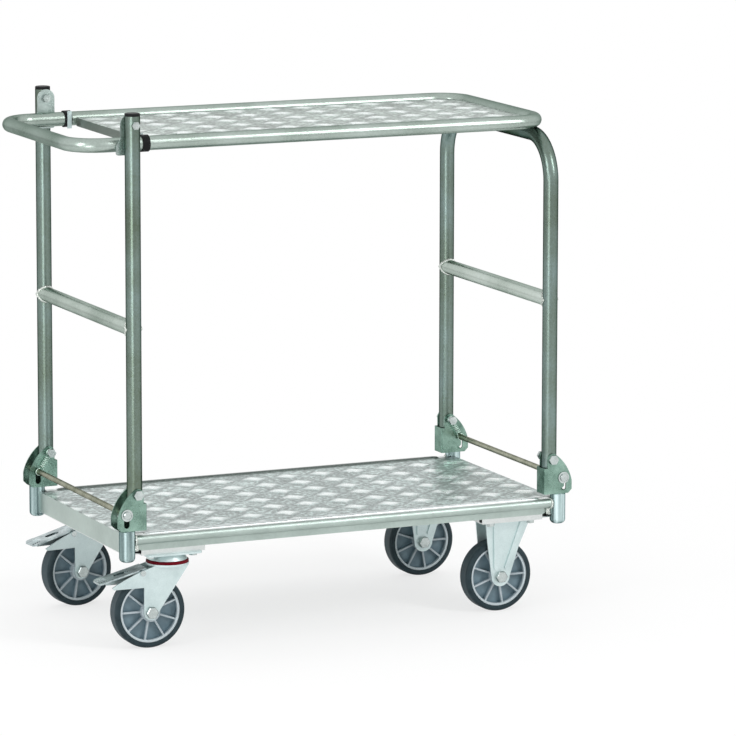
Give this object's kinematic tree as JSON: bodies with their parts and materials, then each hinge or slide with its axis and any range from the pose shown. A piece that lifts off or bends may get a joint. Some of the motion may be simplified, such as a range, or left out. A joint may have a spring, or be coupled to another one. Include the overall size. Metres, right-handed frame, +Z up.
{
  "type": "folding table trolley",
  "caption": "Folding steel table trolley: a diamond-pattern deck on casters, a tube-framed upper shelf with a push handle, and end frames that fold down onto the deck.",
  "frame": {"origin": "on the floor, under the middle of the overall outline", "axes": "+Z up, +X along the trolley away from the push handle, +Y across it"},
  "size_m": [0.942, 0.4796, 0.944],
  "materials": {
    "galvanised_tube": "zinc-plated steel tube, smooth, semi-gloss",
    "pressed_sheet": "bright galvanised sheet with a raised diamond pattern on the decks",
    "zinc_plate": "pale passivated zinc with a faint green cast",
    "caster_steel": "bright zinc plate",
    "fasteners": "zinc-plated bolts",
    "release_steel": "pale yellow passivated steel",
    "pedal_grey": "dark grey coated steel",
    "black_plastic": "black plastic and rubber",
    "seal_red": "red dust seal",
    "wheel_plastic": "blue-grey moulded plastic",
    "tyre_rubber": "dark slate rubber"
  },
  "bodies": {
    "base": {"deck_panel": "pressed_sheet", "end_channel_left": "pressed_sheet", "end_channel_right": "pressed_sheet", "corner_stub_front_left": "galvanised_tube", "corner_stub_rear_left": "galvanised_tube", "corner_stub_front_right": "galvanised_tube", "corner_stub_rear_right": "galvanised_tube", "hinge_bracket_front_left": "zinc_plate", "hinge_bracket_rear_left": "zinc_plate", "hinge_bracket_front_right": "zinc_plate", "hinge_bracket_rear_right": "zinc_plate", "hinge_bolts": "fasteners", "caster_plate_front": "caster_steel", "caster_plate_rear": "caster_steel", "king_pins": "caster_steel", "fixed_fork_front": "caster_steel", "fixed_fork_rear": "caster_steel", "axle_front_right": "fasteners", "axle_rear_right": "fasteners", "caster_bolts": "fasteners", "release_springs_left": "release_steel", "release_springs_right": "release_steel"},
    "left_frame": {"left_post_front": "galvanised_tube", "left_post_rear": "galvanised_tube", "left_crossbar": "galvanised_tube", "left_post_caps": "black_plastic", "left_foot_caps": "black_plastic", "shelf_pivot_bolts": "fasteners"},
    "shelf": {"shelf_loop": "galvanised_tube", "shelf_sheet": "pressed_sheet", "shelf_strut": "pressed_sheet", "shelf_ear_front": "zinc_plate", "shelf_ear_rear": "zinc_plate", "shelf_collars": "black_plastic", "shelf_collar_clips": "caster_steel"},
    "bow": {"bow_tube": "galvanised_tube", "bow_crossbar": "galvanised_tube", "bow_foot_caps": "black_plastic"},
    "release_left": {"release_rod_left": "release_steel", "rod_caps_left": "release_steel"},
    "release_right": {"release_rod_right": "release_steel", "rod_caps_right": "release_steel"},
    "swivel_front": {"swivel_fork_front": "caster_steel", "seal_ring_front": "seal_red", "pedal_pin_front": "caster_steel", "axle_front_left": "fasteners"},
    "brake_front": {"brake_pedal_front": "pedal_grey"},
    "wheel_front_left_body": {"wheel_front_left": "wheel_plastic", "tyre_front_left": "tyre_rubber"},
    "wheel_front_right_body": {"wheel_front_right": "wheel_plastic", "tyre_front_right": "tyre_rubber"},
    "swivel_rear": {"swivel_fork_rear": "caster_steel", "seal_ring_rear": "seal_red", "pedal_pin_rear": "caster_steel", "axle_rear_left": "fasteners"},
    "brake_rear": {"brake_pedal_rear": "pedal_grey"},
    "wheel_rear_left_body": {"wheel_rear_left": "wheel_plastic", "tyre_rear_left": "tyre_rubber"},
    "wheel_rear_right_body": {"wheel_rear_right": "wheel_plastic", "tyre_rear_right": "tyre_rubber"}
  },
  "joints": [
    {"name": "shelf_swing", "type": "hinge", "parent": "left_frame", "child": "shelf", "pos_m": [-0.367, 0, 0.924], "axis": [0, -1, 0], "range_deg": [0, 269.5]},
    {"name": "post_fold", "type": "hinge", "parent": "base", "child": "left_frame", "pos_m": [-0.367, 0, 0.281], "axis": [0, 1, 0], "range_deg": [0, 88.6]},
    {"name": "bow_fold", "type": "hinge", "parent": "base", "child": "bow", "pos_m": [0.433, 0, 0.281], "axis": [0, -1, 0], "range_deg": [0, 95.5]},
    {"name": "release_left_slide", "type": "slide", "parent": "base", "child": "release_left", "axis": [0, 0, -1], "range_m": [0, 0.018], "stiffness_N_per_m": 1500, "springref_m": -0.006, "deforming": ["release_springs_left"]},
    {"name": "release_right_slide", "type": "slide", "parent": "base", "child": "release_right", "axis": [0, 0, -1], "range_m": [0, 0.018], "stiffness_N_per_m": 1500, "springref_m": -0.006, "deforming": ["release_springs_right"]},
    {"name": "swivel_front_turn", "type": "hinge", "parent": "base", "child": "swivel_front", "pos_m": [-0.294, -0.186, 0.15], "axis": [0, 0, 1], "continuous": true},
    {"name": "brake_front_press", "type": "hinge", "parent": "swivel_front", "child": "brake_front", "pos_m": [-0.34697, -0.18415, 0.136], "axis": [-0.0349, -0.9994, 0], "range_deg": [0, 10]},
    {"name": "wheel_front_left_spin", "type": "hinge", "parent": "swivel_front", "child": "wheel_front_left_body", "pos_m": [-0.33158, -0.18469, 0.065], "axis": [-0.0349, -0.9994, 0], "continuous": true},
    {"name": "wheel_front_right_spin", "type": "hinge", "parent": "base", "child": "wheel_front_right_body", "pos_m": [0.3525, -0.165, 0.065], "axis": [0, 1, 0], "continuous": true},
    {"name": "swivel_rear_turn", "type": "hinge", "parent": "base", "child": "swivel_rear", "pos_m": [-0.286, 0.186, 0.15], "axis": [0, 0, 1], "continuous": true},
    {"name": "brake_rear_press", "type": "hinge", "parent": "swivel_rear", "child": "brake_rear", "pos_m": [-0.33871, 0.18046, 0.136], "axis": [0.1045, -0.9945, 0], "range_deg": [0, 10]},
    {"name": "wheel_rear_left_spin", "type": "hinge", "parent": "swivel_rear", "child": "wheel_rear_left_body", "pos_m": [-0.32339, 0.18207, 0.065], "axis": [0.1045, -0.9945, 0], "continuous": true},
    {"name": "wheel_rear_right_spin", "type": "hinge", "parent": "base", "child": "wheel_rear_right_body", "pos_m": [0.3525, 0.165, 0.065], "axis": [0, 1, 0], "continuous": true}
  ],
  "couplings": [
    {"joint": "post_fold", "follows": "shelf_swing", "ratio": 0.32839}
  ]
}
